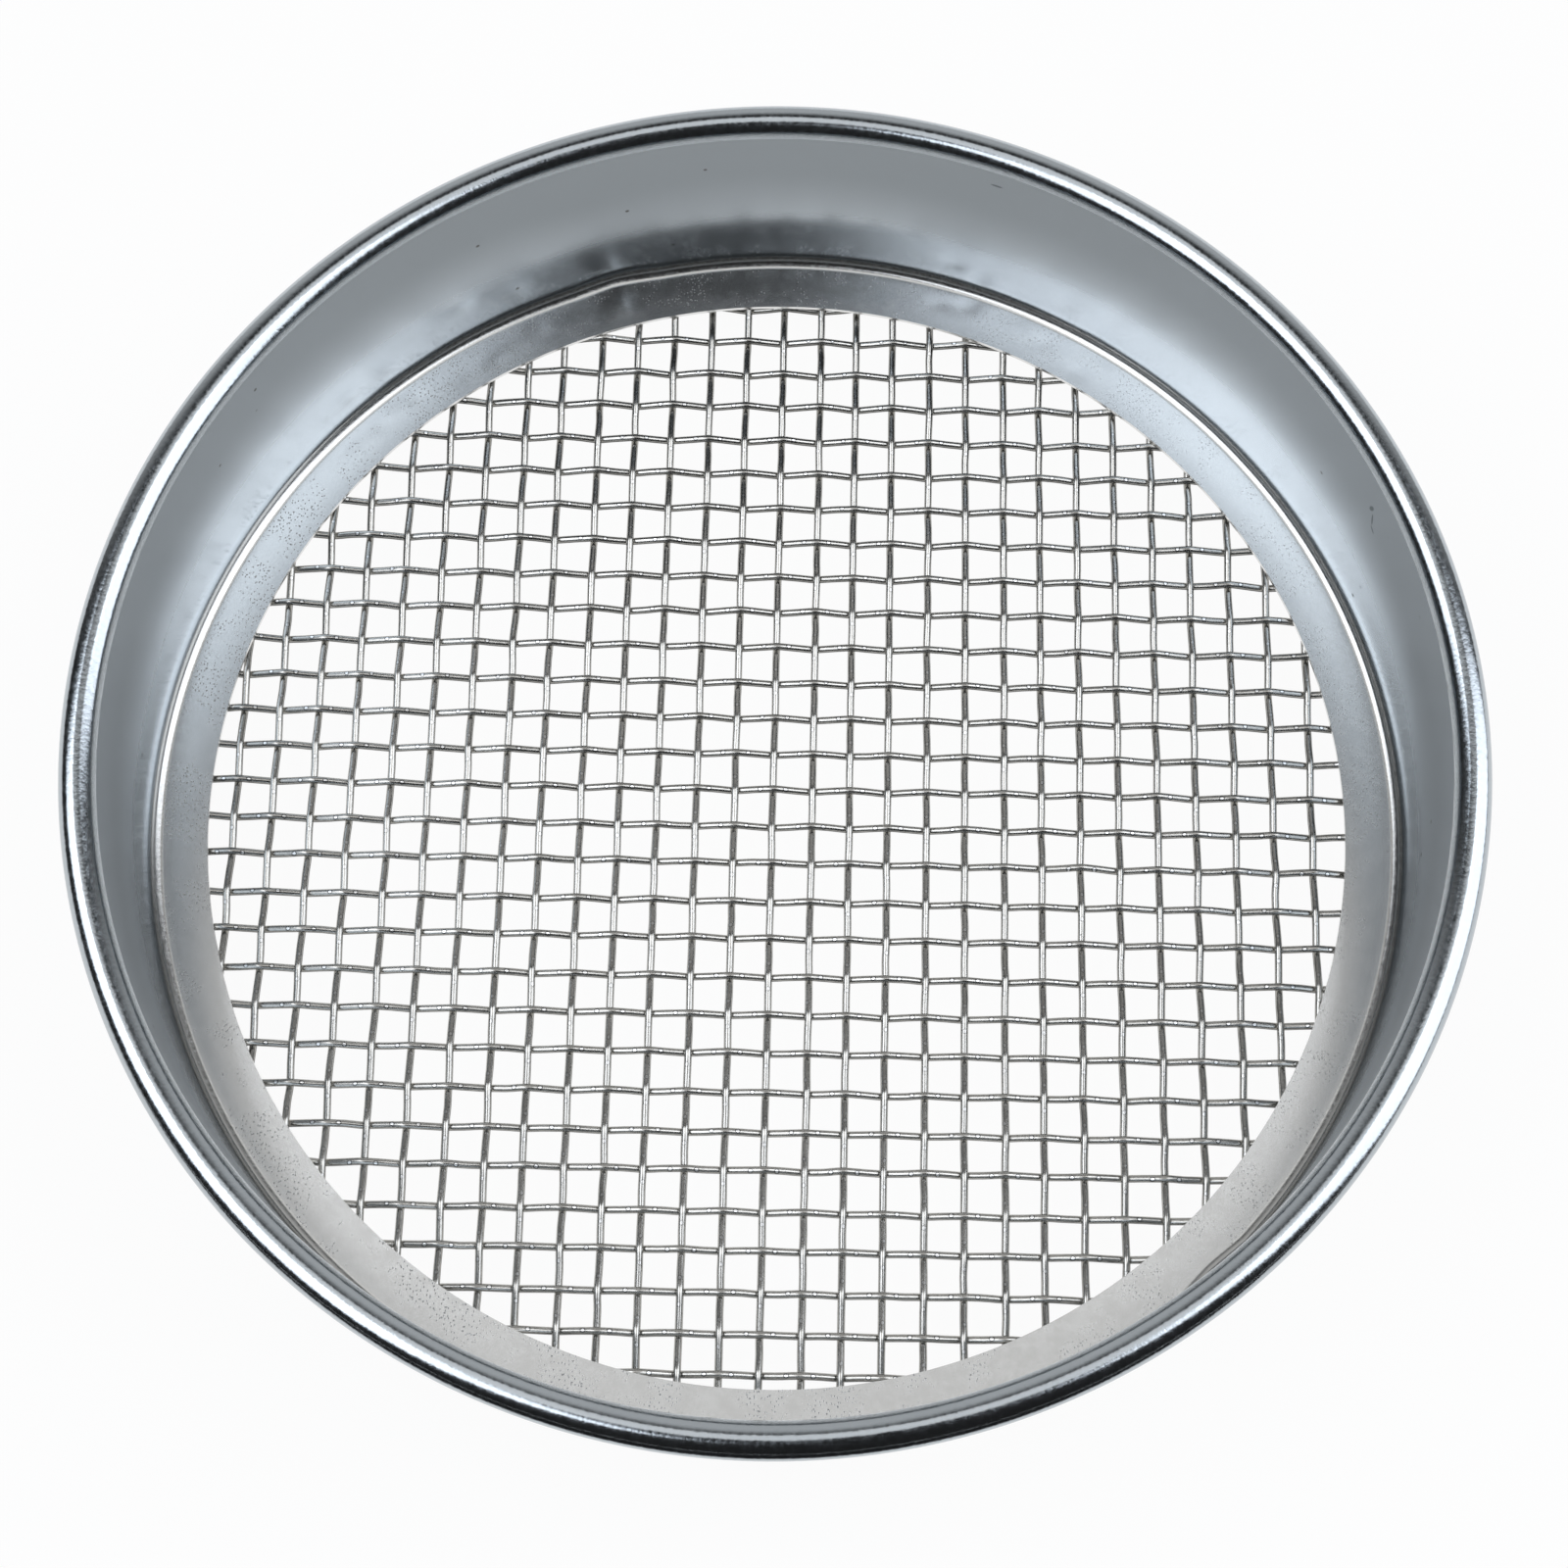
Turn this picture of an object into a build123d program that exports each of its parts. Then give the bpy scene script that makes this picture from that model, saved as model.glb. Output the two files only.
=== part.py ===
from build123d import *
import math
import os

os.makedirs("parts", exist_ok=True)

# Test sieve, in millimetres. The skirt stands on z = 0 and the axis of the sieve is Z.

# Upper frame, drawn from one sheet
bore_radius = 100.0  # inner face of the wall, the nominal size, which takes the skirt of the next sieve
frame_depth = 42.0  # from the flange under the load up to the top of the rim
frame_sheet = 0.7
frame_corner_radius = 1.7  # inside the bend from wall to flange
flange_width = 8.75  # from the wall's inner face to the cut edge of the window
rim_radius = 2.75  # outside of the rolled rim
rim_roll = 270.0  # degrees that the rim is rolled through

# Skirt, drawn from one sheet
skirt_height = 6.8  # from the ground to the face that carries the cloth
skirt_sheet = 0.7
skirt_corner_radius = 1.7  # inside the bend from flange to skirt
nest_clearance = 0.6  # radial, from the skirt to the bore of the sieve below
skirt_window_step = 2.0  # the skirt's window is wider than the frame's by this radius

# Wire cloth, plain weave of crimped wires
wire_diameter = 1.2
warp_aperture = 5.01  # clear width between warp wires, along X
weft_aperture = 5.03  # clear width between weft wires, along Y
warp_offset = -0.635  # middle warp wire from the axis, along X
weft_offset = -1.767  # middle weft wire from the axis, along Y
cloth_overlap = 3.75  # how far the cloth reaches past the frame's window, under the flange
wire_sides = 4
crossing_clearance = 0.02  # between the two wires of a crossing
clamp_clearance = 0.02  # between the cloth and each flange

# Heights, from the ground up
wire_radius = wire_diameter / 2
crimp_height = wire_radius + crossing_clearance / 2
cloth_half_height = crimp_height + wire_radius
cloth_middle = skirt_height + clamp_clearance + cloth_half_height
flange_underside = cloth_middle + cloth_half_height + clamp_clearance
flange_top = flange_underside + frame_sheet
rim_middle = flange_top + frame_depth - rim_radius

# Radii and spacings
window_radius = bore_radius - flange_width
cloth_radius = window_radius + cloth_overlap
skirt_window_radius = window_radius + skirt_window_step
skirt_radius = bore_radius - nest_clearance
warp_pitch = warp_aperture + wire_diameter
weft_pitch = weft_aperture + wire_diameter

# Upper frame: flange, wall and rim follow one centre line at the middle of the sheet
with BuildPart() as upper_frame:
    with BuildSketch(Plane.XZ):
        with BuildLine():
            wall_middle = bore_radius + frame_sheet / 2
            flange_middle = flange_top - frame_sheet / 2
            FilletPolyline(
                (window_radius, flange_middle),
                (wall_middle, flange_middle),
                (wall_middle, rim_middle),
                radius=frame_corner_radius + frame_sheet / 2,
            )
            CenterArc(
                center=(bore_radius + rim_radius, rim_middle),
                radius=rim_radius - frame_sheet / 2,
                start_angle=180.0,
                arc_size=-rim_roll,
            )
        trace(line_width=frame_sheet)
    revolve(axis=Axis.Z)
upper_frame.part.label = "upper_frame"

# Skirt: a flange that clamps the cloth from below and the wall that stands on the ground
with BuildPart() as skirt:
    with BuildSketch(Plane.XZ):
        with BuildLine():
            skirt_flange_middle = skirt_height - skirt_sheet / 2
            skirt_wall_middle = skirt_radius - skirt_sheet / 2
            FilletPolyline(
                (skirt_window_radius, skirt_flange_middle),
                (skirt_wall_middle, skirt_flange_middle),
                (skirt_wall_middle, 0),
                radius=skirt_corner_radius + skirt_sheet / 2,
            )
        trace(line_width=skirt_sheet)
    revolve(axis=Axis.Z)
skirt.part.label = "skirt"


def lattice(pitch, offset):
    """Numbers of the wires of one set that cross the cloth."""
    reach = cloth_radius - wire_diameter
    return range(math.ceil((-reach - offset) / pitch), math.floor((reach - offset) / pitch) + 1)


def crimp_points(half_length, pitch, offset, over_first):
    """Positions and heights along one wire: its two ends and a bend at each wire that it crosses."""
    crossings = [offset + number * pitch for number in lattice(pitch, offset)]
    bends = [along for along in crossings if abs(along) < half_length - crossing_clearance]
    points = []
    for along in [-half_length, *bends, half_length]:
        phase = ((along - offset) / pitch) % 2
        wave = 2 * abs(1 - phase) - 1
        points.append((along, cloth_middle + over_first * crimp_height * wave))
    return points


# Warp wires run along Y. Each passes over one weft wire and under the next, its neighbours the other way
with BuildPart() as warp_wires:
    wires = []
    for number in lattice(warp_pitch, warp_offset):
        across = warp_offset + number * warp_pitch
        half_length = math.sqrt(cloth_radius**2 - across**2)
        over_first = 1 - 2 * (number % 2)
        points = crimp_points(half_length, weft_pitch, weft_offset, over_first)
        with BuildLine() as route:
            Polyline(*[(across, along, height) for along, height in points])
        with BuildSketch(Plane(origin=route.line @ 0, x_dir=(1, 0, 0), z_dir=(0, 1, 0))) as section:
            RegularPolygon(radius=wire_radius, side_count=wire_sides)
        wires.append(sweep(section.sketch, route.line, transition=Transition.RIGHT, mode=Mode.PRIVATE))
    add(wires)
warp_wires.part.label = "warp_wires"

# Weft wires run along X, under the warp wherever the warp is over
with BuildPart() as weft_wires:
    wires = []
    for number in lattice(weft_pitch, weft_offset):
        across = weft_offset + number * weft_pitch
        half_length = math.sqrt(cloth_radius**2 - across**2)
        over_first = 2 * (number % 2) - 1
        points = crimp_points(half_length, warp_pitch, warp_offset, over_first)
        with BuildLine() as route:
            Polyline(*[(along, across, height) for along, height in points])
        with BuildSketch(Plane(origin=route.line @ 0, x_dir=(0, 1, 0), z_dir=(1, 0, 0))) as section:
            RegularPolygon(radius=wire_radius, side_count=wire_sides)
        wires.append(sweep(section.sketch, route.line, transition=Transition.RIGHT, mode=Mode.PRIVATE))
    add(wires)
weft_wires.part.label = "weft_wires"

export_step(upper_frame.part, "parts/upper_frame.step")
export_step(skirt.part, "parts/skirt.step")
export_step(warp_wires.part, "parts/warp_wires.step")
export_step(weft_wires.part, "parts/weft_wires.step")
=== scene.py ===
import math
import random

import bmesh
import bpy
from bpy.props import FloatProperty, FloatVectorProperty, IntProperty, PointerProperty
from mathutils import Euler, Matrix, Vector


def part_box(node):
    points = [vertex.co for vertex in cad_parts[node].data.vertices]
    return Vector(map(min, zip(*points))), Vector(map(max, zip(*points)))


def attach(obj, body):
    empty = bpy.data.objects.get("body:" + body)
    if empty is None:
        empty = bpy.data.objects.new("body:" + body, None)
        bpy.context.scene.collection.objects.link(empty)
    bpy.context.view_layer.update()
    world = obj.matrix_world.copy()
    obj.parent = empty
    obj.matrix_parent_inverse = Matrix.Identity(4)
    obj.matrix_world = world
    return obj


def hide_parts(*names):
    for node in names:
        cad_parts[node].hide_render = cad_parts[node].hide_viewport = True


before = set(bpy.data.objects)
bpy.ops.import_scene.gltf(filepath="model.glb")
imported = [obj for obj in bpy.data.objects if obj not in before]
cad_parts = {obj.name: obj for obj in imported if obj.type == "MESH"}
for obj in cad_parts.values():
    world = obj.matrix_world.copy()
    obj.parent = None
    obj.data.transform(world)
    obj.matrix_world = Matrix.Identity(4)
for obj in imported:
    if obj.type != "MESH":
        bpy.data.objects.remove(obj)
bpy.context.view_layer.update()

bl_info = {
    "name": "Test Sieve",
    "version": (1, 0, 0),
    "blender": (4, 5, 0),
    "location": "View3D > Sidebar > Sieve",
    "description": "Builds a nesting test sieve: a drawn steel frame, its skirt and a floor of woven wire",
    "category": "Add Mesh",
}

FRAME_LOW, FRAME_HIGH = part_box("upper_frame")
SKIRT_LOW, SKIRT_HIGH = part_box("skirt")
CLOTH_LOW, CLOTH_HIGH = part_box("warp_wires")

# Counts of faces
SHEET_SIDES = 448
BEND_SEGMENTS = 12
SKIRT_BEND_SEGMENTS = 10
ROLL_STEPS = 36
WALL_CUTS = 30
FLANGE_CUTS = 7

# Lengths in metres
CLAMP_CLEARANCE = 0.00002
WELD_REACH = 1e-6
LONG_EDGE = 0.006
WIRE_STUB = 0.0002


# Sizes and colours that a user would change


class FrameSettings(bpy.types.PropertyGroup):
    bore_radius: FloatProperty(
        name="Bore radius", description="Inner face of the wall", default=0.1, unit="LENGTH", precision=4
    )
    sheet: FloatProperty(
        name="Sheet", description="Thickness of the drawn sheet", default=0.0007, unit="LENGTH", precision=5
    )
    bend_radius: FloatProperty(
        name="Bend radius", description="Inside of the bend from wall to flange", default=0.0017,
        unit="LENGTH", precision=5,
    )
    window_radius: FloatProperty(
        name="Window radius", description="Cut edge of the flange", default=0.09125,
        unit="LENGTH", precision=5,
    )
    rim_radius: FloatProperty(
        name="Rim radius", description="Outside of the rolled rim", default=0.002748,
        unit="LENGTH", precision=6,
    )
    rim_roll: FloatProperty(
        name="Rim roll", description="Angle that the rim is rolled through", default=math.radians(270),
        subtype="ANGLE",
    )
    steel: FloatVectorProperty(
        name="Polished steel", description="Colour of the wall and the rim", default=(0.545, 0.59, 0.625),
        size=3, subtype="COLOR", min=0.0, max=1.0,
    )
    flange_steel: FloatVectorProperty(
        name="Flange steel", description="Colour of the dull flange", default=(0.57, 0.57, 0.56),
        size=3, subtype="COLOR", min=0.0, max=1.0,
    )


class SkirtSettings(bpy.types.PropertyGroup):
    outer_radius: FloatProperty(
        name="Skirt radius", description="Outer face of the skirt", default=SKIRT_HIGH.x,
        unit="LENGTH", precision=5,
    )
    sheet: FloatProperty(
        name="Sheet", description="Thickness of the skirt's sheet", default=0.0007, unit="LENGTH", precision=5
    )
    bend_radius: FloatProperty(
        name="Bend radius", description="Outside of the bend from flange to skirt", default=0.0024,
        unit="LENGTH", precision=5,
    )
    window_radius: FloatProperty(
        name="Window radius", description="Cut edge of the skirt's flange", default=0.09325, unit="LENGTH",
        precision=5,
    )
    steel: FloatVectorProperty(
        name="Skirt steel", description="Colour of the skirt", default=(0.6, 0.62, 0.64),
        size=3, subtype="COLOR", min=0.0, max=1.0,
    )


class ClothSettings(bpy.types.PropertyGroup):
    wire_radius: FloatProperty(
        name="Wire radius", description="Radius of the round wire", default=0.0006, unit="LENGTH", precision=5
    )
    warp_pitch: FloatProperty(
        name="Warp pitch", description="Spacing of the wires that run along Y", default=0.00621,
        unit="LENGTH", precision=6,
    )
    weft_pitch: FloatProperty(
        name="Weft pitch", description="Spacing of the wires that run along X", default=0.00623,
        unit="LENGTH", precision=6,
    )
    warp_offset: FloatProperty(
        name="Warp offset", description="Middle warp wire from the axis", default=-0.000635, unit="LENGTH",
        precision=6,
    )
    weft_offset: FloatProperty(
        name="Weft offset", description="Middle weft wire from the axis", default=-0.001767, unit="LENGTH",
        precision=6,
    )
    cloth_radius: FloatProperty(
        name="Cloth radius", description="Radius at which the wires are cut", default=0.095, unit="LENGTH",
        precision=5,
    )
    bend_half: FloatProperty(
        name="Bend half length", description="Half the length of a crimp's bend", default=0.0011,
        unit="LENGTH", precision=5,
    )
    unevenness: FloatProperty(
        name="Unevenness", description="How far a wire strays from its line", default=0.00009, unit="LENGTH",
        precision=6,
    )
    seed: IntProperty(name="Seed", description="Seed of the wires' unevenness", default=7, min=0)
    steel: FloatVectorProperty(
        name="Wire steel", description="Colour of the drawn wire", default=(0.55, 0.54, 0.51),
        size=3, subtype="COLOR", min=0.0, max=1.0,
    )


class StageSettings(bpy.types.PropertyGroup):
    floor_colour: FloatVectorProperty(
        name="Floor", description="Colour of the floor", default=(0.82, 0.82, 0.82),
        size=3, subtype="COLOR", min=0.0, max=1.0,
    )
    panel_level: FloatProperty(
        name="Panel level", description="Brightness of the soft panels together", default=1.0, min=0.0
    )
    lens: FloatProperty(name="Lens", description="Focal length of the camera in millimetres", default=65.377)


# Node helpers


def new_material(name):
    material = bpy.data.materials.new(name)
    material.use_nodes = True
    tree = material.node_tree
    tree.nodes.clear()
    output = tree.nodes.new("ShaderNodeOutputMaterial")
    shader = tree.nodes.new("ShaderNodeBsdfPrincipled")
    tree.links.new(shader.outputs["BSDF"], output.inputs["Surface"])
    return material, tree, shader


def set_inputs(node, **values):
    for name, value in values.items():
        node.inputs[name.replace("_", " ")].default_value = value


def math_node(tree, operation, a, b=None, clamp=False):
    node = tree.nodes.new("ShaderNodeMath")
    node.operation = operation
    node.use_clamp = clamp
    for socket, value in zip(node.inputs, (a, b)):
        if value is None:
            continue
        if isinstance(value, (int, float)):
            socket.default_value = value
        else:
            tree.links.new(value, socket)
    return node.outputs[0]


def map_range(tree, value, low, high, to_low=0.0, to_high=1.0):
    node = tree.nodes.new("ShaderNodeMapRange")
    node.interpolation_type = "SMOOTHSTEP"
    tree.links.new(value, node.inputs["Value"])
    set_inputs(node, From_Min=low, From_Max=high, To_Min=to_low, To_Max=to_high)
    return node.outputs["Result"]


def object_place(tree, scale=(1.0, 1.0, 1.0)):
    """Object coordinates in metres, stretched by a scale."""
    coordinates = tree.nodes.new("ShaderNodeTexCoord")
    mapping = tree.nodes.new("ShaderNodeMapping")
    mapping.inputs["Scale"].default_value = scale
    tree.links.new(coordinates.outputs["Object"], mapping.inputs["Vector"])
    return mapping.outputs["Vector"]


def around_axis(tree, place):
    """Direction around the axis of the sieve."""
    node = tree.nodes.new("ShaderNodeVectorMath")
    node.operation = "CROSS_PRODUCT"
    node.inputs[0].default_value = (0.0, 0.0, 1.0)
    tree.links.new(place, node.inputs[1])
    return node.outputs["Vector"]


def noise(tree, place, scale, detail=2.0, roughness=0.5):
    node = tree.nodes.new("ShaderNodeTexNoise")
    tree.links.new(place, node.inputs["Vector"])
    set_inputs(node, Scale=scale, Detail=detail, Roughness=roughness)
    return node.outputs["Fac"]


def specks(tree, place, scale, size, share=0.35, flat=False):
    """Small round spots, at most one to a cell: 1 in the spot, 0 around it. Flat cells lie in XY."""
    cells = tree.nodes.new("ShaderNodeTexVoronoi")
    cells.voronoi_dimensions = "2D" if flat else "3D"
    tree.links.new(place, cells.inputs["Vector"])
    set_inputs(cells, Scale=scale, Randomness=1.0)
    chance = tree.nodes.new("ShaderNodeSeparateColor")
    tree.links.new(cells.outputs["Color"], chance.inputs["Color"])
    spot = map_range(tree, cells.outputs["Distance"], size, size * 0.5)
    chosen = map_range(tree, chance.outputs["Red"], 0.9 - share, 1.1 - share)
    return math_node(tree, "MULTIPLY", spot, chosen)


def mark(tree, place, angle, radius, height, reach, lean=0.0):
    """One small mark on the sheet: 1 within an ellipsoid set at an angle about the axis, 0 around it."""
    turn = math.radians(angle)
    mapping = tree.nodes.new("ShaderNodeMapping")
    mapping.vector_type = "TEXTURE"
    mapping.inputs["Location"].default_value = (radius * math.cos(turn), radius * math.sin(turn), height)
    mapping.inputs["Rotation"].default_value = (lean, 0.0, turn)
    mapping.inputs["Scale"].default_value = reach
    tree.links.new(place, mapping.inputs["Vector"])
    length = tree.nodes.new("ShaderNodeVectorMath")
    length.operation = "LENGTH"
    tree.links.new(mapping.outputs["Vector"], length.inputs[0])
    return map_range(tree, length.outputs["Value"], 1.0, 0.6)


def blend_colour(tree, factor, base, colour):
    """Lays a plain colour over another by a factor."""
    node = tree.nodes.new("ShaderNodeMix")
    node.data_type = "RGBA"
    tree.links.new(factor, node.inputs["Factor"])
    tree.links.new(base, node.inputs["A"])
    node.inputs["B"].default_value = (*colour, 1.0)
    return node.outputs["Result"]


def bump(tree, height, strength, distance, shader):
    node = tree.nodes.new("ShaderNodeBump")
    tree.links.new(height, node.inputs["Height"])
    set_inputs(node, Strength=strength, Distance=distance)
    tree.links.new(node.outputs["Normal"], shader.inputs["Normal"])


def tint(tree, factor, colour_a, colour_b):
    node = tree.nodes.new("ShaderNodeMix")
    node.data_type = "RGBA"
    node.inputs["A"].default_value = (*colour_a, 1.0)
    node.inputs["B"].default_value = (*colour_b, 1.0)
    tree.links.new(factor, node.inputs["Factor"])
    return node.outputs["Result"]


# Finishes


SPECK_COLOUR = (0.14, 0.14, 0.13)
WALL_MARK_COLOUR = (0.1, 0.12, 0.12)
PIT_COLOUR = (0.34, 0.34, 0.33)
# Painted shade on the wires' sides
WIRE_PAINTED_SHADE_COLOUR = (0.08, 0.08, 0.077)
# Painted dark outline and painted white highlight of the glints beside the crimps
WIRE_GLINT_OUTLINE_COLOUR = (0.1, 0.1, 0.1)
WIRE_GLINT_COLOUR = (0.98, 0.98, 0.97)

# Edge-on colour of the polished sheet
POLISH_EDGE_ON = (0.72, 0.75, 0.78, 1.0)

# Heights in metres over which painted shade darkens the polished sheet's colour towards the rim, and over
# which the sheet dulls towards the rim
PAINTED_SHADE_HEIGHTS = (0.026, 0.044)
DULLS = (0.022, 0.036)
CLOUD_DRIFT = 0.008

# Painted glints beside the crimps, in pitches: distance from the crossing, half length and half width
GLINT_FROM_CROSSING = 0.33
GLINT_HALF_LENGTH = 0.042
GLINT_HALF_WIDTH = 0.036

# Marks on the wall: angle in degrees, radius and height in metres, reach around, up and out, lean in degrees
WALL_MARKS = (
    (70.6, 0.1, 0.0455, (0.0004, 0.0012, 0.00032), 0.0),
    (24.2, 0.1, 0.0419, (0.0004, 0.0005, 0.0011), 20.0),
    (23.6, 0.1, 0.0399, (0.0004, 0.00028, 0.0016), -15.0),
    (23.1, 0.1, 0.0379, (0.0004, 0.0009, 0.0003), 30.0),
)


def polished_sheet(name, colour, marks=()):
    """Bright drawn sheet, its colour darkened towards the rim by painted shade. Fine draw lines run up it, so
    it mirrors more sharply upwards than around.
    """
    material, tree, shader = new_material(name)
    set_inputs(shader, Metallic=1.0)
    shader.inputs["Specular Tint"].default_value = POLISH_EDGE_ON
    place = object_place(tree)
    cloud = noise(tree, place, 22.0, 1.0)
    parts = tree.nodes.new("ShaderNodeSeparateXYZ")
    tree.links.new(place, parts.inputs["Vector"])
    level = math_node(tree, "ADD", parts.outputs["Z"], math_node(tree, "MULTIPLY", cloud, CLOUD_DRIFT))
    # Painted shade: towards the rim the colour is darkened to 0.68 of itself
    dull = tuple(0.68 * value for value in colour)
    skin = tint(tree, map_range(tree, level, *PAINTED_SHADE_HEIGHTS), colour, dull)
    skin = blend_colour(tree, specks(tree, place, 160.0, 0.07), skin, SPECK_COLOUR)
    for angle, radius, height, reach, lean in marks:
        spot = mark(tree, place, angle, radius, height, reach, math.radians(lean))
        skin = blend_colour(tree, math_node(tree, "MULTIPLY", spot, 0.75), skin, WALL_MARK_COLOUR)
    tree.links.new(skin, shader.inputs["Base Color"])
    tree.links.new(map_range(tree, level, *DULLS, 0.18, 0.36), shader.inputs["Roughness"])
    shader.inputs["Anisotropic"].default_value = 0.5
    tree.links.new(around_axis(tree, place), shader.inputs["Tangent"])
    return material


def grained_sheet(name, colour, smoothest, roughest, relief=0.15):
    """The rolled rim and the bend, where stretching has raised an orange-peel grain."""
    material, tree, shader = new_material(name)
    set_inputs(shader, Metallic=1.0)
    place = object_place(tree)
    grain = noise(tree, place, 1500.0, 3.0, 0.6)
    cloud = noise(tree, place, 60.0, 3.0)
    dark = tuple(0.9 * value for value in colour)
    tree.links.new(tint(tree, cloud, dark, colour), shader.inputs["Base Color"])
    tree.links.new(map_range(tree, grain, 0.3, 0.7, smoothest, roughest), shader.inputs["Roughness"])
    bump(tree, grain, relief, 0.00015, shader)
    return material


def dull_flange(name, colour):
    """Dull flange, mottled and speckled with small matt pits that are densest at the front left."""
    material, tree, shader = new_material(name)
    place = object_place(tree)
    mottle = noise(tree, place, 300.0, 6.0, 0.7)
    grain = noise(tree, place, 2600.0, 2.0, 0.6)
    parts = tree.nodes.new("ShaderNodeSeparateXYZ")
    tree.links.new(place, parts.inputs["Vector"])
    depthwise = math_node(tree, "MULTIPLY", parts.outputs["Y"], 0.6)
    leftward = math_node(tree, "ADD", parts.outputs["X"], depthwise)
    worn = map_range(tree, leftward, 0.07, -0.06, 0.3, 0.9)
    groups = map_range(tree, noise(tree, place, 150.0, 3.0), 0.42, 0.62)
    pits = specks(tree, object_place(tree, (1.0, 1.5, 1.0)), 600.0, 0.13, 0.4, flat=True)
    fine_pits = specks(tree, object_place(tree, (1.4, 1.0, 1.0)), 1300.0, 0.22, 0.6, flat=True)
    spots = math_node(tree, "ADD", pits, fine_pits, clamp=True)
    spots = math_node(tree, "MULTIPLY", spots, math_node(tree, "MULTIPLY", groups, worn))
    skin = tint(tree, map_range(tree, mottle, 0.35, 0.65), tuple(0.92 * value for value in colour), colour)
    skin = blend_colour(tree, spots, skin, PIT_COLOUR)
    tree.links.new(skin, shader.inputs["Base Color"])
    tree.links.new(map_range(tree, spots, 0.0, 1.0, 0.93, 0.1), shader.inputs["Metallic"])
    dullness = map_range(tree, mottle, 0.3, 0.7, 0.2, 0.26)
    dullness = math_node(tree, "ADD", dullness, math_node(tree, "MULTIPLY", spots, 0.3))
    tree.links.new(dullness, shader.inputs["Roughness"])
    relief = math_node(tree, "SUBTRACT", math_node(tree, "MULTIPLY", grain, 0.4), spots)
    bump(tree, relief, 0.3, 0.00006, shader)
    return material


def cut_edge(name, colour):
    """Bright, slightly rough edge where the sheet is cut."""
    material, tree, shader = new_material(name)
    set_inputs(shader, Metallic=1.0, Roughness=0.35)
    shader.inputs["Base Color"].default_value = (*colour, 1.0)
    grain = noise(tree, object_place(tree), 2500.0, 2.0)
    bump(tree, grain, 0.3, 0.0001, shader)
    return material


def nearest_crossing(tree, place, pitch, offset):
    """Number of the nearest crossing wire, and the distance from its line in pitches."""
    along = math_node(tree, "DIVIDE", math_node(tree, "SUBTRACT", place, offset), pitch)
    number = math_node(tree, "ROUND", along)
    return number, math_node(tree, "SUBTRACT", along, number)


def drawn_wire(name, size, along):
    """Bright wire with die lines along it and small pits, painted shade on its sides, and white painted
    glints with painted dark outlines beside the crimps.
    """
    material, tree, shader = new_material(name)
    set_inputs(shader, Metallic=1.0)
    stretch = (1.0, 0.06, 1.0) if along == "Y" else (0.06, 1.0, 1.0)
    lines = noise(tree, object_place(tree, stretch), 7000.0, 1.0)
    place = object_place(tree)
    cloud = noise(tree, place, 260.0, 3.0)
    skin = tint(tree, cloud, tuple(0.85 * value for value in size.steel), size.steel)
    line_colour = tuple(0.75 * value for value in size.steel)
    skin = blend_colour(tree, map_range(tree, lines, 0.5, 0.7), skin, line_colour)
    pits = specks(tree, place, 900.0, 0.16, 0.12)
    skin = blend_colour(tree, pits, skin, tuple(0.4 * value for value in size.steel))
    facing = tree.nodes.new("ShaderNodeSeparateXYZ")
    tree.links.new(tree.nodes.new("ShaderNodeNewGeometry").outputs["Normal"], facing.inputs["Vector"])
    upright = math_node(tree, "ABSOLUTE", facing.outputs["Z"])
    # Painted shade: the wire is darkened where its surface turns away from facing up or down
    skin = blend_colour(tree, map_range(tree, upright, 0.55, 0.15), skin, WIRE_PAINTED_SHADE_COLOUR)
    parts = tree.nodes.new("ShaderNodeSeparateXYZ")
    tree.links.new(place, parts.inputs["Vector"])
    warp, from_warp = nearest_crossing(tree, parts.outputs["X"], size.warp_pitch, size.warp_offset)
    weft, from_weft = nearest_crossing(tree, parts.outputs["Y"], size.weft_pitch, size.weft_offset)
    odd = math_node(tree, "PINGPONG", math_node(tree, "ADD", warp, weft), 1.0)
    if along == "Y":
        run, side, outline_share, glint_share = from_weft, from_warp, 0.4, 0.5
        here = math_node(tree, "SUBTRACT", 1.0, odd)
    else:
        run, side, outline_share, glint_share = from_warp, from_weft, 0.9, 1.0
        here = odd
    off_glint = math_node(tree, "SUBTRACT", math_node(tree, "ABSOLUTE", run), GLINT_FROM_CROSSING)
    lengthwise = math_node(tree, "POWER", math_node(tree, "DIVIDE", off_glint, GLINT_HALF_LENGTH), 2.0)
    crosswise = math_node(tree, "POWER", math_node(tree, "DIVIDE", side, GLINT_HALF_WIDTH), 2.0)
    far = math_node(tree, "ADD", lengthwise, crosswise)
    # Painted highlight: a white glint with a painted dark outline, a third of a pitch either side of
    # alternate crossings
    ring = math_node(tree, "MULTIPLY", map_range(tree, far, 3.6, 1.8), here)
    painted_glint = math_node(tree, "MULTIPLY", map_range(tree, far, 1.4, 0.7), here)
    skin = blend_colour(tree, math_node(tree, "MULTIPLY", ring, outline_share), skin, WIRE_GLINT_OUTLINE_COLOUR)
    skin = blend_colour(tree, math_node(tree, "MULTIPLY", painted_glint, glint_share), skin, WIRE_GLINT_COLOUR)
    tree.links.new(skin, shader.inputs["Base Color"])
    tree.links.new(map_range(tree, cloud, 0.3, 0.7, 0.2, 0.28), shader.inputs["Roughness"])
    return material


# Drawn sheet


def flange_top(sheet):
    """Height of the upper face of the flange that clamps the cloth from above."""
    return CLOTH_HIGH.z + CLAMP_CLEARANCE + sheet


def open_line(bm, points):
    """A line of edges through points of the XZ plane."""
    verts = [bm.verts.new((x, 0.0, z)) for x, z in points]
    for pair in zip(verts, verts[1:]):
        bm.edges.new(pair)
    return verts


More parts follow.
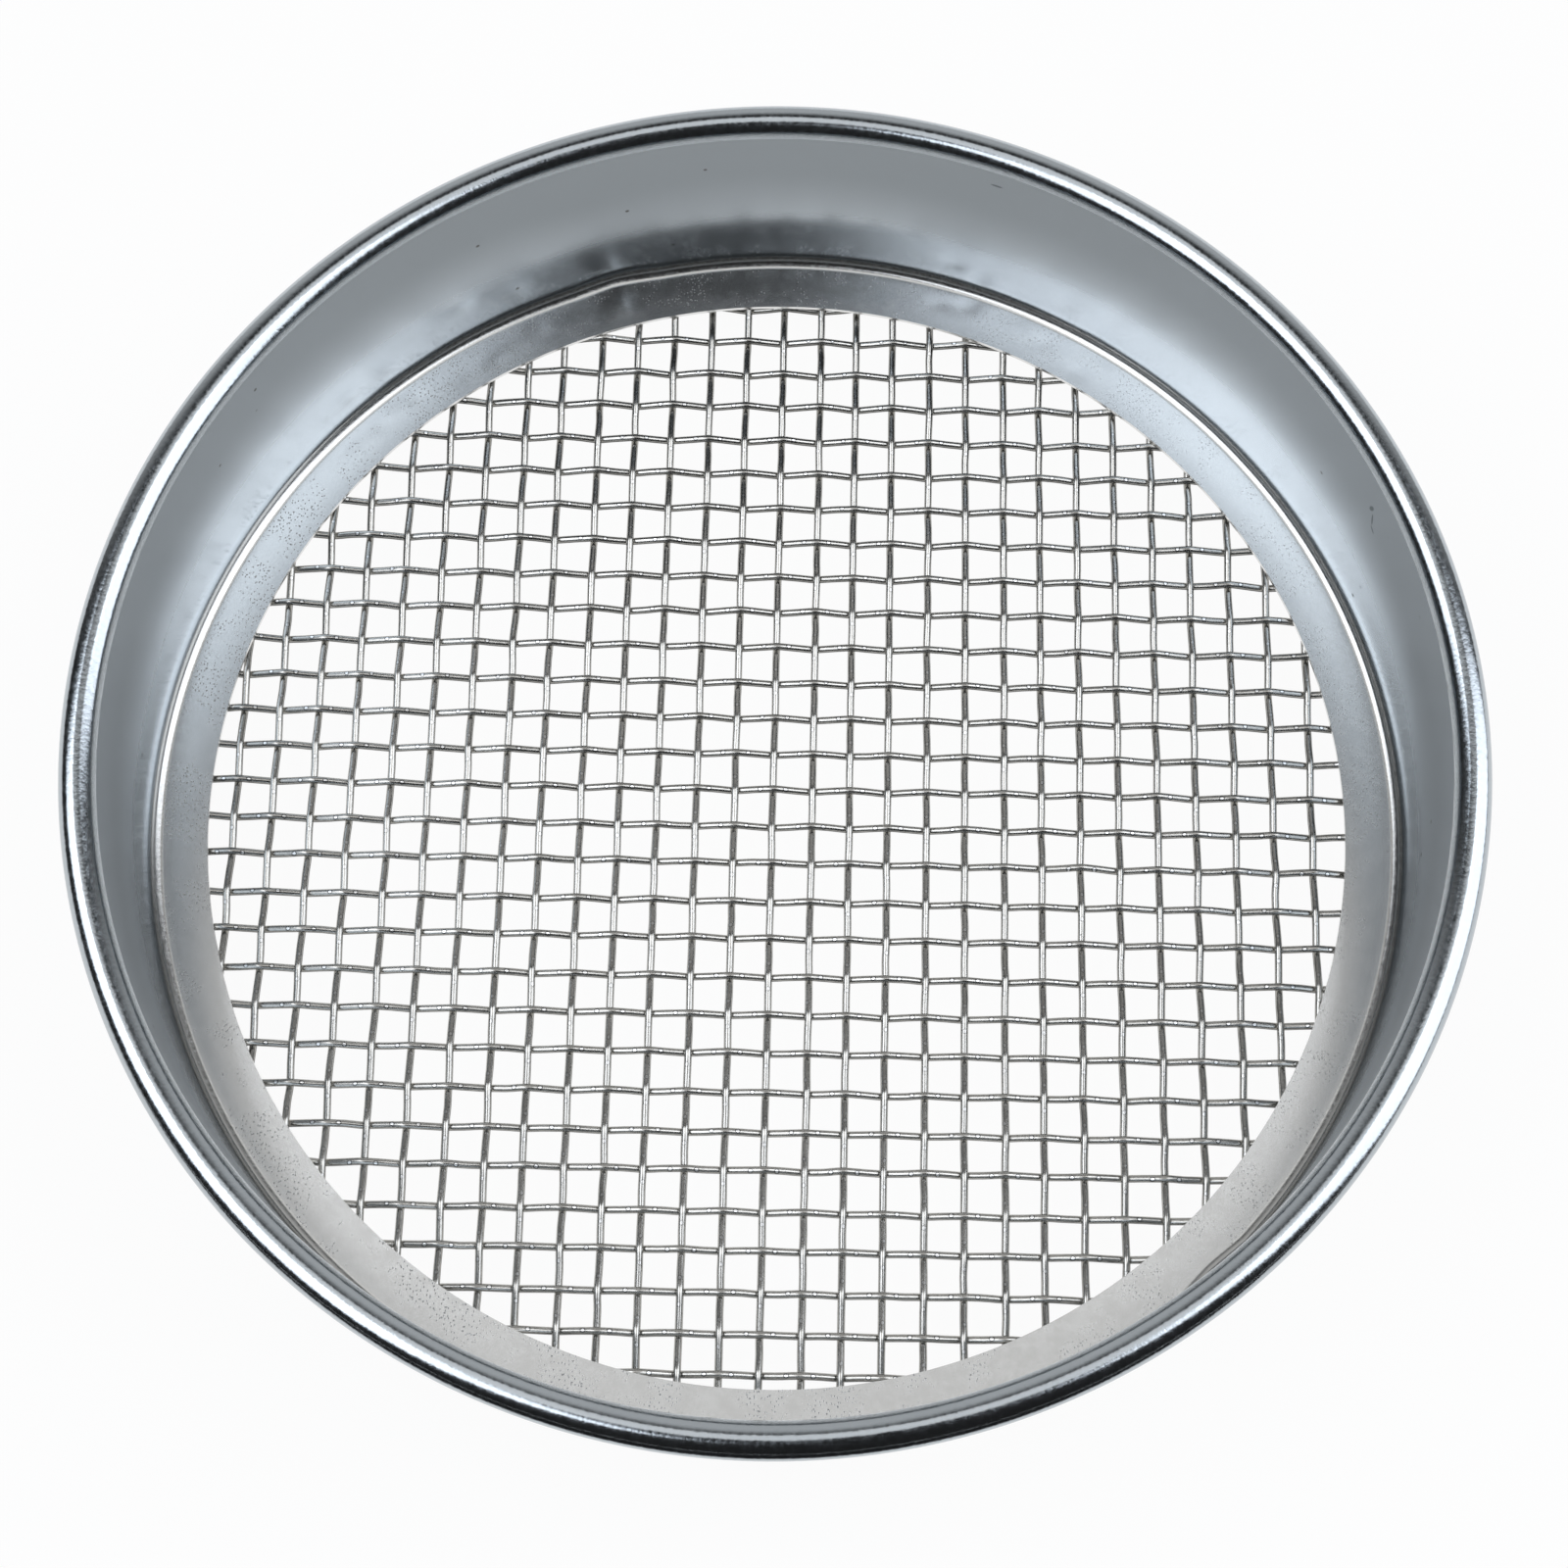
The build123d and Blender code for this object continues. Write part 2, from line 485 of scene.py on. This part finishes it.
def round_corner(bm, corner, radius, segments):
    bmesh.ops.bevel(
        bm, geom=[corner], offset=radius, offset_type="OFFSET", segments=segments, profile=0.5,
        affect="VERTICES", material=-1,
    )


def turn_round(bm):
    """Turns the section into a ring about the axis of the sieve."""
    bmesh.ops.spin(
        bm, geom=bm.verts[:] + bm.edges[:], cent=(0.0, 0.0, 0.0), axis=(0.0, 0.0, 1.0), dvec=(0.0, 0.0, 0.0),
        angle=2 * math.pi, steps=SHEET_SIDES, use_merge=True,
    )
    bmesh.ops.remove_doubles(bm, verts=bm.verts[:], dist=WELD_REACH)


def thicken(bm, sheet):
    """Gives the sheet its thickness on its far side, away from the axis and down."""
    bmesh.ops.recalc_face_normals(bm, faces=bm.faces[:])
    innermost = min(bm.faces, key=lambda face: (face.calc_center_median().to_2d().length, face.index))
    if innermost.normal.z < 0.0:
        bmesh.ops.reverse_faces(bm, faces=bm.faces[:])
    bmesh.ops.solidify(bm, geom=bm.faces[:], thickness=sheet)


def finish_piece(bm, name, materials, node, sharp=math.radians(40)):
    """Makes the mesh object, shades it, and puts it in the frame in place of its node."""
    mesh = bpy.data.meshes.new(name)
    bm.to_mesh(mesh)
    bm.free()
    mesh.shade_smooth()
    mesh.set_sharp_from_angle(angle=sharp)
    piece = bpy.data.objects.new(name, mesh)
    bpy.context.scene.collection.objects.link(piece)
    for material in materials:
        mesh.materials.append(material)
    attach(piece, "root")
    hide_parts(node)


# Dents: angle in degrees; radius, height, reach around and reach across in millimetres; depth in
# millimetres; way of the push; 1 for a sharp crease, 2 for a soft dimple
DENTS = (
    (107.0, 99.4, 11.0, 8.0, 3.4, 0.5, "out", 1),
    (107.6, 96.0, 9.9, 2.6, 4.4, 0.22, "up", 1),
    (71.3, 100.0, 13.6, 2.4, 2.2, 0.14, "in", 1),
    (73.2, 100.0, 17.5, 3.6, 3.0, 0.1, "in", 2),
    (74.6, 95.7, 9.9, 2.0, 1.8, 0.08, "up", 1),
    (71.4, 96.9, 9.9, 1.8, 2.0, 0.09, "up", 1),
    (-46.6, 98.9, 10.8, 7.0, 3.2, 0.8, "in", 1),
    (118.9, 100.0, 20.1, 5.8, 4.2, 0.12, "in", 2),
    (123.8, 100.0, 22.0, 5.8, 4.2, 0.12, "in", 2),
    (131.9, 100.0, 15.9, 5.2, 3.6, 0.1, "in", 2),
    (137.0, 100.0, 17.9, 5.6, 4.0, 0.11, "in", 2),
    (58.0, 100.0, 15.0, 5.2, 3.6, 0.1, "in", 2),
    (67.0, 100.0, 14.0, 5.0, 3.4, 0.1, "in", 2),
    (130.8, 96.3, 9.9, 2.4, 2.0, 0.07, "up", 2),
    (135.3, 96.2, 9.9, 2.4, 2.0, 0.07, "up", 2),
    (121.9, 93.8, 9.9, 2.4, 1.8, 0.08, "up", 2),
    (116.5, 96.0, 9.9, 2.4, 2.0, 0.07, "up", 2),
    (62.9, 95.7, 9.9, 2.4, 2.0, 0.07, "up", 2),
    (58.3, 93.8, 9.9, 2.6, 1.8, 0.07, "up", 2),
)


def dent(bm):
    """Moves the sheet's own vertices where it is knocked or pressed."""
    for angle, radius, height, around, across, depth, way, softness in DENTS:
        turn = math.radians(angle)
        out = Vector((math.cos(turn), math.sin(turn), 0.0))
        along = Vector((-out.y, out.x, 0.0))
        up = Vector((0.0, 0.0, 1.0))
        centre = (out * radius + up * height) / 1000
        push = {"up": up, "in": -out, "out": out}[way] * depth / 1000
        for vert in bm.verts:
            away = (vert.co - centre) * 1000
            near = Vector((away.dot(along) / around, away.dot(out) / across, away.z / across)).length
            if near < 1.0:
                vert.co += push * (1 - near**softness) ** softness


# Material slots of the frame, and how far the rim's finish reaches down and in, in metres
WALL, RIM, FLANGE, EDGE, BEND = range(5)
RIM_DEPTH = 0.0032
RIM_OUTSIDE = 0.001


class SIEVE_OT_upper_frame(bpy.types.Operator):
    """Builds the frame from one sheet: flange, bend, wall and rolled rim"""

    bl_idname = "sieve.upper_frame"
    bl_label = "Upper Frame"

    def execute(self, context):
        size = context.scene.sieve_frame
        level = flange_top(size.sheet)
        rim_middle = FRAME_HIGH.z - size.rim_radius
        bm = bmesh.new()
        corner = (size.bore_radius, level)
        verts = open_line(bm, [(size.window_radius, level), corner, (size.bore_radius, rim_middle)])
        round_corner(bm, verts[1], size.bend_radius, BEND_SEGMENTS)
        bm.verts.ensure_lookup_table()
        tip = max(bm.verts, key=lambda vert: vert.co.z)
        bmesh.ops.spin(
            bm, geom=[tip], cent=(size.bore_radius + size.rim_radius, 0.0, rim_middle), axis=(0.0, 1.0, 0.0),
            dvec=(0.0, 0.0, 0.0), angle=size.rim_roll, steps=ROLL_STEPS, use_merge=False,
        )
        long_edges = [edge for edge in bm.edges if edge.calc_length() > LONG_EDGE]
        for edge in long_edges:
            upright = abs(edge.verts[0].co.z - edge.verts[1].co.z) > LONG_EDGE
            bmesh.ops.subdivide_edges(bm, edges=[edge], cuts=WALL_CUTS if upright else FLANGE_CUTS)
        turn_round(bm)
        dent(bm)
        thicken(bm, size.sheet)
        materials = [
            polished_sheet("polished_wall", size.steel, WALL_MARKS),
            grained_sheet("grained_rim", tuple(0.92 * value for value in size.steel), 0.13, 0.22),
            dull_flange("dull_flange", size.flange_steel),
            cut_edge("cut_edge", (0.8, 0.8, 0.79)),
            grained_sheet("grained_bend", (0.62, 0.62, 0.605), 0.17, 0.27, 0.07),
        ]
        bend_top = level + size.bend_radius
        for face in bm.faces:
            middle = face.calc_center_median()
            radius = middle.to_2d().length
            rolled = middle.z > rim_middle - RIM_DEPTH and radius > size.bore_radius + RIM_OUTSIDE
            if rolled or middle.z > rim_middle:
                face.material_index = RIM
            elif middle.z < bend_top and radius > size.bore_radius - size.bend_radius:
                face.material_index = BEND
            elif middle.z < bend_top:
                face.material_index = FLANGE
            if radius < size.window_radius + 1e-5 and abs(face.normal.z) < 0.5:
                face.material_index = EDGE
        finish_piece(bm, "drawn_frame", materials, "upper_frame")
        return {"FINISHED"}


class SIEVE_OT_skirt(bpy.types.Operator):
    """Builds the skirt that clamps the cloth and nests in the sieve below"""

    bl_idname = "sieve.skirt"
    bl_label = "Skirt"

    def execute(self, context):
        size = context.scene.sieve_skirt
        bm = bmesh.new()
        corner = (size.outer_radius, SKIRT_HIGH.z)
        verts = open_line(bm, [(size.window_radius, SKIRT_HIGH.z), corner, (size.outer_radius, 0.0)])
        round_corner(bm, verts[1], size.bend_radius, SKIRT_BEND_SEGMENTS)
        turn_round(bm)
        thicken(bm, size.sheet)
        materials = [polished_sheet("skirt_sheet", size.steel)]
        finish_piece(bm, "drawn_skirt", materials, "skirt")
        return {"FINISHED"}


# Unevenness of a wire, as shares of the setting: sideways at a crimp and halfway between two, and
# along the wire; and the spread of the crimps' height
LEAN_SHARE = 0.35
MIDWAY_SHARE = 0.4
SLIP_SHARE = 0.8
LIFT_SPREAD = 0.03


def wire_numbers(pitch, offset, reach):
    """Numbers of the wires of one set within reach of the axis."""
    return range(math.ceil((-reach - offset) / pitch), math.floor((reach - offset) / pitch) + 1)


def weave(name, along, size, material, node):
    """One set of crimped wires, round and a little uneven, as a single piece."""
    if along == "Y":
        pitch, offset, other_pitch, other_offset = (
            size.warp_pitch, size.warp_offset, size.weft_pitch, size.weft_offset
        )
    else:
        pitch, offset, other_pitch, other_offset = (
            size.weft_pitch, size.weft_offset, size.warp_pitch, size.warp_offset
        )
    middle = (CLOTH_LOW.z + CLOTH_HIGH.z) / 2
    steepness = 2 * size.bend_half / other_pitch
    rise = size.wire_radius / (1 - steepness / 4)
    chance = random.Random(size.seed if along == "Y" else size.seed + 1)
    curve = bpy.data.curves.new(name + "_lines", "CURVE")
    curve.dimensions = "3D"
    curve.bevel_depth = size.wire_radius
    curve.bevel_resolution = 4
    curve.resolution_u = 2
    curve.use_fill_caps = True
    for number in wire_numbers(pitch, offset, size.cloth_radius - 2 * size.wire_radius):
        across = offset + number * pitch
        half = math.sqrt(size.cloth_radius**2 - across**2)
        over = 1 - 2 * (number % 2) if along == "Y" else 2 * (number % 2) - 1
        stray = chance.gauss(0.0, size.unevenness)
        points = []
        for crossing in wire_numbers(other_pitch, other_offset, half + other_pitch):
            way = over * (1 - 2 * (crossing % 2))
            centre = other_offset + crossing * other_pitch
            lean = chance.gauss(0.0, size.unevenness * LEAN_SHARE)
            slip = chance.gauss(0.0, size.unevenness * SLIP_SHARE)
            lift = way * rise * (1 + chance.gauss(0.0, LIFT_SPREAD))
            points.append((centre + slip - size.bend_half, lean, lift * (1 - steepness)))
            points.append((centre + slip, lean, lift))
            points.append((centre + slip + size.bend_half, lean, lift * (1 - steepness)))
            midway = lean * 0.5 + chance.gauss(0.0, size.unevenness * MIDWAY_SHARE)
            points.append((centre + other_pitch / 2, midway, 0.0))
        inside = [point for point in points if abs(point[0]) < half - WIRE_STUB]
        before = [point for point in points if point[0] <= -half + WIRE_STUB]
        after = [point for point in points if point[0] >= half - WIRE_STUB]
        ends = []
        for outer, inner, edge in ((before[-1], inside[0], -half), (after[0], inside[-1], half)):
            share = (edge - inner[0]) / (outer[0] - inner[0])
            ends.append(tuple(i + (o - i) * share for o, i in zip(outer, inner)))
        line = [ends[0], *inside, ends[1]]
        spline = curve.splines.new("NURBS")
        spline.points.add(len(line) - 1)
        for point, (place, lean, lift) in zip(spline.points, line):
            side = across + stray + lean
            x, y = (side, place) if along == "Y" else (place, side)
            point.co = (x, y, middle + lift, 1.0)
        spline.order_u = 3
        spline.use_endpoint_u = True
    lines = bpy.data.objects.new(name + "_lines", curve)
    bpy.context.scene.collection.objects.link(lines)
    solid = bpy.data.meshes.new_from_object(lines.evaluated_get(bpy.context.evaluated_depsgraph_get()))
    bpy.data.objects.remove(lines)
    bm = bmesh.new()
    bm.from_mesh(solid)
    bpy.data.meshes.remove(solid)
    bmesh.ops.remove_doubles(bm, verts=bm.verts[:], dist=1e-7)
    bmesh.ops.recalc_face_normals(bm, faces=bm.faces[:])
    finish_piece(bm, name, [material], node, math.radians(50))


class SIEVE_OT_cloth(bpy.types.Operator):
    """Weaves the cloth: warp wires along Y, and weft wires along X that go over and under them"""

    bl_idname = "sieve.cloth"
    bl_label = "Wire Cloth"

    def execute(self, context):
        size = context.scene.sieve_cloth
        weave("warp_cloth", "Y", size, drawn_wire("warp_wire", size, "Y"), "warp_wires")
        weave("weft_cloth", "X", size, drawn_wire("weft_wire", size, "X"), "weft_wires")
        return {"FINISHED"}


# Stage: half sizes and places in metres, and how white the floor is to the eye and in mirrors
FLOOR_HALF = 40.0
FLAG_HALF = 1.5
FLAG_MIDDLE = -1.67
FLAG_HEIGHT = 0.0005
WHITENESS = 0.94

# Camera: place in metres from the middle of the flange's upper face, and its turn in degrees
CAMERA_PLACE = (0.00575, -0.14282, 0.43479)
CAMERA_TURN = (18.789, 0.178, 1.263)

# Soft panels: name, azimuth and elevation in degrees, width and height in metres, brightness, colour
PANELS = (
    ("panel_right", 1, 40, 0.8, 1.28, 2.15, (0.96, 1.0, 1.07)),
    ("panel_left", 196, 55, 1.0, 0.7, 2.5, (0.96, 1.0, 1.07)),
    ("panel_overhead", 90, 86, 1.15, 0.5, 0.98, (1.0, 1.0, 1.0)),
)


def soft_panel(name, azimuth, elevation, width, height, radiance, colour):
    """A rectangular soft light, a metre away, that faces the sieve."""
    light = bpy.data.lights.new(name, "AREA")
    light.shape = "RECTANGLE"
    light.size = width
    light.size_y = height
    light.energy = radiance * math.pi * width * height
    light.color = colour
    panel = bpy.data.objects.new(name, light)
    turn, rise = math.radians(azimuth), math.radians(elevation)
    panel.location = (math.cos(turn) * math.cos(rise), math.sin(turn) * math.cos(rise), math.sin(rise))
    panel.rotation_euler = (math.pi / 2 - rise, 0.0, turn + math.pi / 2)
    panel.visible_camera = False
    bpy.context.scene.collection.objects.link(panel)


def studio_world():
    """A dim room: grey behind the sieve, dark in front."""
    world = bpy.data.worlds.new("studio")
    world.use_nodes = True
    bpy.context.scene.world = world
    tree = world.node_tree
    tree.nodes.clear()
    parts = tree.nodes.new("ShaderNodeSeparateXYZ")
    tree.links.new(tree.nodes.new("ShaderNodeTexCoord").outputs["Generated"], parts.inputs["Vector"])
    behind = map_range(tree, parts.outputs["Y"], 0.4, 0.85, 0.02, 0.62)
    room = tree.nodes.new("ShaderNodeBackground")
    tree.links.new(behind, room.inputs["Color"])
    output = tree.nodes.new("ShaderNodeOutputWorld")
    tree.links.new(room.outputs[0], output.inputs["Surface"])


def pale_floor(colour):
    """White to the eye and in mirrors, keeps a shadow, and is clear from below to show the underside."""
    material = bpy.data.materials.new("pale_floor")
    material.use_nodes = True
    tree = material.node_tree
    tree.nodes.clear()
    matt = tree.nodes.new("ShaderNodeBsdfDiffuse")
    matt.inputs["Color"].default_value = (*colour, 1.0)
    white = tree.nodes.new("ShaderNodeEmission")
    path = tree.nodes.new("ShaderNodeLightPath")
    mirrored = math_node(tree, "ADD", path.outputs["Is Glossy Ray"], path.outputs["Is Transmission Ray"])
    seen = math_node(tree, "ADD", path.outputs["Is Camera Ray"], mirrored, clamp=True)
    seen = math_node(tree, "MULTIPLY", seen, WHITENESS)
    mix = tree.nodes.new("ShaderNodeMixShader")
    tree.links.new(seen, mix.inputs["Fac"])
    tree.links.new(matt.outputs[0], mix.inputs[1])
    tree.links.new(white.outputs[0], mix.inputs[2])
    clear_below = tree.nodes.new("ShaderNodeMixShader")
    tree.links.new(tree.nodes.new("ShaderNodeNewGeometry").outputs["Backfacing"], clear_below.inputs["Fac"])
    tree.links.new(mix.outputs[0], clear_below.inputs[1])
    tree.links.new(tree.nodes.new("ShaderNodeBsdfTransparent").outputs[0], clear_below.inputs[2])
    output = tree.nodes.new("ShaderNodeOutputMaterial")
    tree.links.new(clear_below.outputs[0], output.inputs["Surface"])
    return material


def black_card():
    """Black, without a gloss of its own."""
    material, tree, shader = new_material("black_card")
    shader.inputs["Base Color"].default_value = (0.02, 0.02, 0.02, 1.0)
    set_inputs(shader, Roughness=1.0)
    shader.inputs["Specular IOR Level"].default_value = 0.0
    return material


def stage_sheet(name, half_size, middle, height, material):
    """A flat square sheet of the stage, level with the floor."""
    bm = bmesh.new()
    bmesh.ops.create_grid(bm, x_segments=1, y_segments=1, size=half_size)
    bmesh.ops.translate(bm, vec=(0.0, middle, height), verts=bm.verts[:])
    mesh = bpy.data.meshes.new(name)
    bm.to_mesh(mesh)
    bm.free()
    mesh.materials.append(material)
    sheet = bpy.data.objects.new(name, mesh)
    bpy.context.scene.collection.objects.link(sheet)
    return sheet


class SIEVE_OT_stage(bpy.types.Operator):
    """Lays the floor and sets the lights and the camera"""

    bl_idname = "sieve.stage"
    bl_label = "Stage"

    def execute(self, context):
        size = context.scene.sieve_stage
        stage_sheet("floor", FLOOR_HALF, 0.0, 0.0, pale_floor(size.floor_colour))
        flag = stage_sheet("dark_flag", FLAG_HALF, FLAG_MIDDLE, FLAG_HEIGHT, black_card())
        flag.visible_camera = False
        flag.visible_diffuse = False
        flag.visible_shadow = False
        studio_world()
        for name, azimuth, elevation, width, height, radiance, colour in PANELS:
            soft_panel(name, azimuth, elevation, width, height, radiance * size.panel_level, colour)
        camera = bpy.data.cameras.new("camera")
        camera.lens = size.lens
        camera.sensor_width = 36.0
        camera.clip_start = 0.01
        camera.clip_end = 20.0
        view = bpy.data.objects.new("camera", camera)
        place = Vector(CAMERA_PLACE) + Vector((0.0, 0.0, flange_top(context.scene.sieve_frame.sheet)))
        turn = Euler([math.radians(angle) for angle in CAMERA_TURN])
        view.matrix_world = Matrix.LocRotScale(place, turn, None)
        context.scene.collection.objects.link(view)
        context.scene.camera = view
        context.scene.view_settings.view_transform = "Standard"
        return {"FINISHED"}


class SIEVE_PT_panel(bpy.types.Panel):
    """Lists the steps that build the sieve"""

    bl_label = "Sieve"
    bl_idname = "SIEVE_PT_panel"
    bl_space_type = "VIEW_3D"
    bl_region_type = "UI"
    bl_category = "Sieve"

    def draw(self, context):
        for step in STEPS:
            self.layout.operator(step.bl_idname)
        for group in SETTINGS:
            box = self.layout.box()
            settings = getattr(context.scene, group)
            for name in settings.__annotations__:
                box.prop(settings, name)


SETTINGS = {
    "sieve_frame": FrameSettings,
    "sieve_skirt": SkirtSettings,
    "sieve_cloth": ClothSettings,
    "sieve_stage": StageSettings,
}
STEPS = (SIEVE_OT_upper_frame, SIEVE_OT_skirt, SIEVE_OT_cloth, SIEVE_OT_stage)


def register():
    for name, settings in SETTINGS.items():
        bpy.utils.register_class(settings)
        setattr(bpy.types.Scene, name, PointerProperty(type=settings))
    for step in STEPS:
        bpy.utils.register_class(step)
    bpy.utils.register_class(SIEVE_PT_panel)


def unregister():
    bpy.utils.unregister_class(SIEVE_PT_panel)
    for step in reversed(STEPS):
        bpy.utils.unregister_class(step)
    for name, settings in SETTINGS.items():
        delattr(bpy.types.Scene, name)
        bpy.utils.unregister_class(settings)


def main():
    register()
    bpy.ops.sieve.upper_frame()
    bpy.ops.sieve.skirt()
    bpy.ops.sieve.cloth()
    bpy.ops.sieve.stage()


if __name__ == "__main__":
    main()
